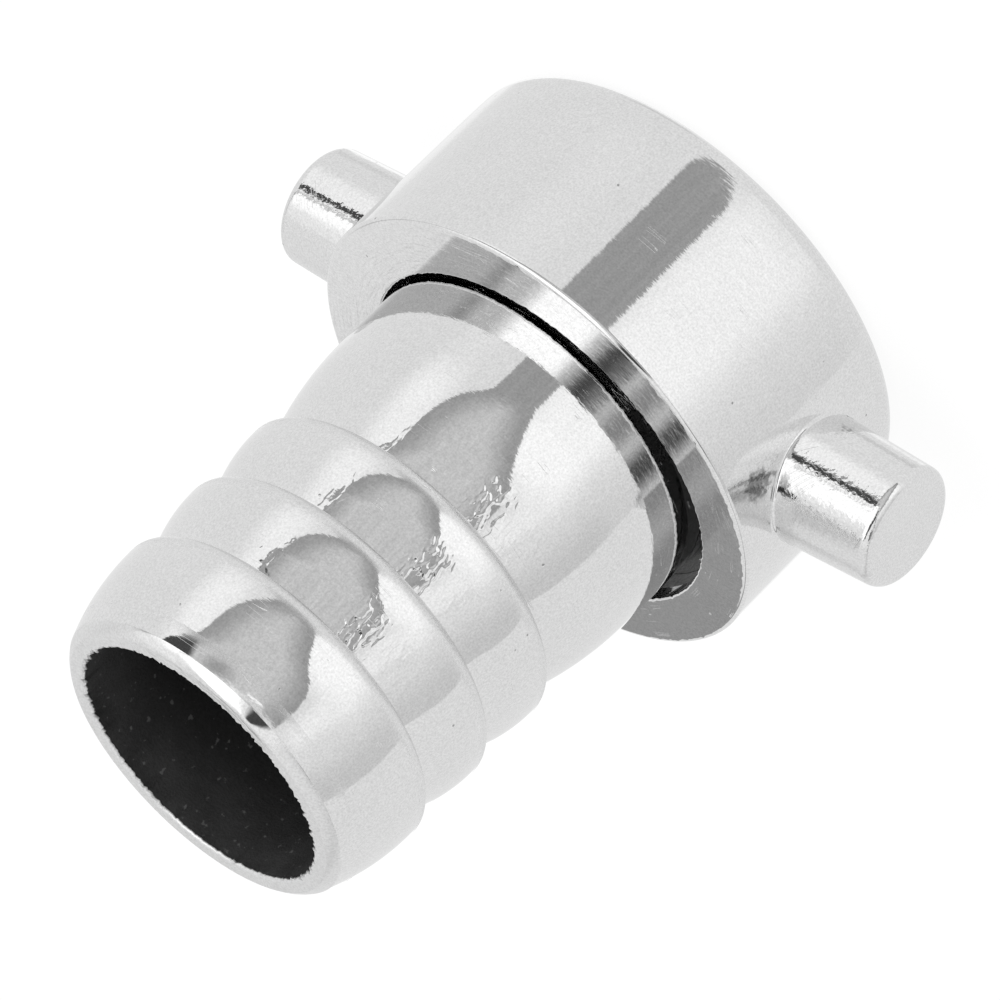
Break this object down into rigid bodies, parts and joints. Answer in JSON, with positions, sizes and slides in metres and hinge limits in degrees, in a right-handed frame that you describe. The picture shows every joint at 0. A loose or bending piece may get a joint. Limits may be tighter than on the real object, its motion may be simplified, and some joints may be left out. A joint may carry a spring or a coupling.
{
  "type": "hose coupling",
  "caption": "Hose coupling: a barbed hose tail that swivels in a nut with an internal pipe thread and round spanner lugs, sealed by a flat washer.",
  "frame": {"origin": "centre of the nut's open mouth, which is the bottom centre of the whole coupling", "axes": "+Z along the water way from the nut's mouth to the hose end, X through the two lugs"},
  "size_m": [0.0666, 0.047, 0.0641],
  "materials": {
    "tail_plate": "bright plate over a hand-polished brass casting",
    "nut_plate": "bright plate over a hand-polished brass casting",
    "washer_rubber": "matt black rubber"
  },
  "bodies": {
    "nut": {"swivel_nut": "nut_plate"},
    "washer": {"sealing_washer": "washer_rubber"},
    "tail": {"hose_tail": "tail_plate"}
  },
  "joints": [
    {"name": "tail_swivel", "type": "hinge", "parent": "washer", "child": "tail", "pos_m": [0, 0, 0.0147], "axis": [0, 0, 1], "continuous": true},
    {"name": "tail_slide", "type": "slide", "parent": "nut", "child": "washer", "axis": [0, 0, -1], "range_m": [0, 0.0125]}
  ]
}
